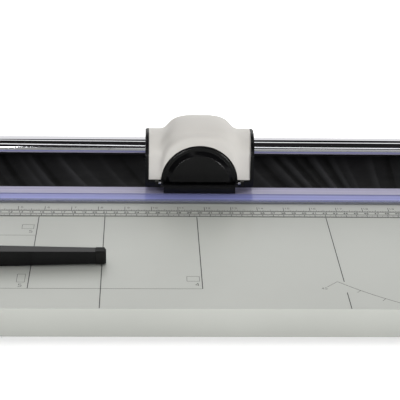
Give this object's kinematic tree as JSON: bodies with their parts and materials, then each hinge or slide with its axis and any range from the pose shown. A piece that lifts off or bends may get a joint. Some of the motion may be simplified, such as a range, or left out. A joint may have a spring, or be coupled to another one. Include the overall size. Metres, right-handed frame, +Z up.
{
  "type": "rolling paper trimmer",
  "caption": "Bench-top rolling paper trimmer: a round wheel in a sliding head cuts along a table with a scale, a clear clamp strip, a back stop and a catch cloth.",
  "frame": {"origin": "middle of the footprint, on the bench surface under the rubber feet", "axes": "+X along the cut from the side lay to the right, +Y from the user to the rear, +Z up"},
  "size_m": [0.78, 0.396, 0.1037],
  "materials": {
    "table_paint": "pale grey powder coat",
    "scale_face": "satin film",
    "black_plastic": "satin moulded",
    "shell_white": "satin white moulded",
    "violet_clear": "clear tinted",
    "bush_plastic": "natural",
    "chrome": "polished",
    "steel": "ground",
    "aluminium": "satin anodised",
    "brass": "turned",
    "felt": "pressed felt",
    "black_cloth": "woven",
    "rubber": "matte"
  },
  "bodies": {
    "base": {"table_plate": "table_paint", "front_rail": "table_paint", "corner_caps": "black_plastic", "left_side_rail": "table_paint", "right_side_rail": "table_paint", "bed_beam": "aluminium", "bed_knife": "steel", "knife_screws": "steel", "scale_strip": "scale_face", "left_end_bracket": "black_plastic", "right_end_bracket": "black_plastic", "bracket_screws": "steel", "guide_tube": "chrome", "tube_end_caps": "black_plastic", "tube_grub_screws": "steel", "rubber_feet": "rubber", "side_lay": "aluminium", "side_lay_screws": "steel", "clamp_guide_pins": "steel", "clamp_springs": "steel", "cloth_batten": "aluminium", "batten_screws": "steel", "catch_cloth": "black_cloth", "cloth_rod": "steel"},
    "paper_clamp": {"clamp_strip": "violet_clear", "clamp_end_blocks": "black_plastic", "clamp_rivets": "steel"},
    "head": {"head_chassis": "black_plastic", "head_shell": "shell_white", "left_cheek": "black_plastic", "right_cheek": "black_plastic", "cheek_screws": "steel", "slide_bushings": "bush_plastic", "felt_wipers": "felt", "guide_key": "brass", "blade_axle": "steel", "axle_nut": "steel", "blade_washer": "steel", "blade_spring": "steel", "presser_foot": "black_plastic", "foot_screws": "steel", "cover_hinge_pins": "chrome"},
    "wheel": {"cutting_wheel": "steel", "blade_hub": "brass"},
    "cover": {"blade_cover": "black_plastic"},
    "back_stop": {"stop_carriage": "black_plastic", "stop_arm": "black_plastic", "stop_end_cap": "rubber", "stop_arm_screws": "steel"},
    "knob": {"clamp_knob": "black_plastic", "knob_stud": "steel"}
  },
  "joints": [
    {"name": "head_slide", "type": "slide", "parent": "base", "child": "head", "axis": [1, 0, 0], "range_m": [-0.302, 0.31]},
    {"name": "wheel_spin", "type": "hinge", "parent": "head", "child": "wheel", "pos_m": [-0.004, 0.048, 0.0535], "axis": [0, 1, 0], "continuous": true},
    {"name": "cover_hinge", "type": "hinge", "parent": "head", "child": "cover", "pos_m": [-0.004, 0.035, 0.0455], "axis": [1, 0, 0], "range_deg": [0, 85]},
    {"name": "clamp_press", "type": "slide", "parent": "base", "child": "paper_clamp", "axis": [0, 0, 1], "range_m": [-0.0016, 0], "stiffness_N_per_m": 800, "springref_m": 0.004, "deforming": ["clamp_springs"]},
    {"name": "stop_slide", "type": "slide", "parent": "base", "child": "back_stop", "axis": [0, 1, 0], "range_m": [-0.061, 0.078]},
    {"name": "knob_turn", "type": "hinge", "parent": "back_stop", "child": "knob", "pos_m": [-0.311, -0.1135, 0.05], "axis": [0, 0, 1], "range_deg": [0, 300]}
  ],
  "couplings": [
    {"joint": "wheel_spin", "follows": "head_slide", "rad_per_m": 41.667}
  ]
}
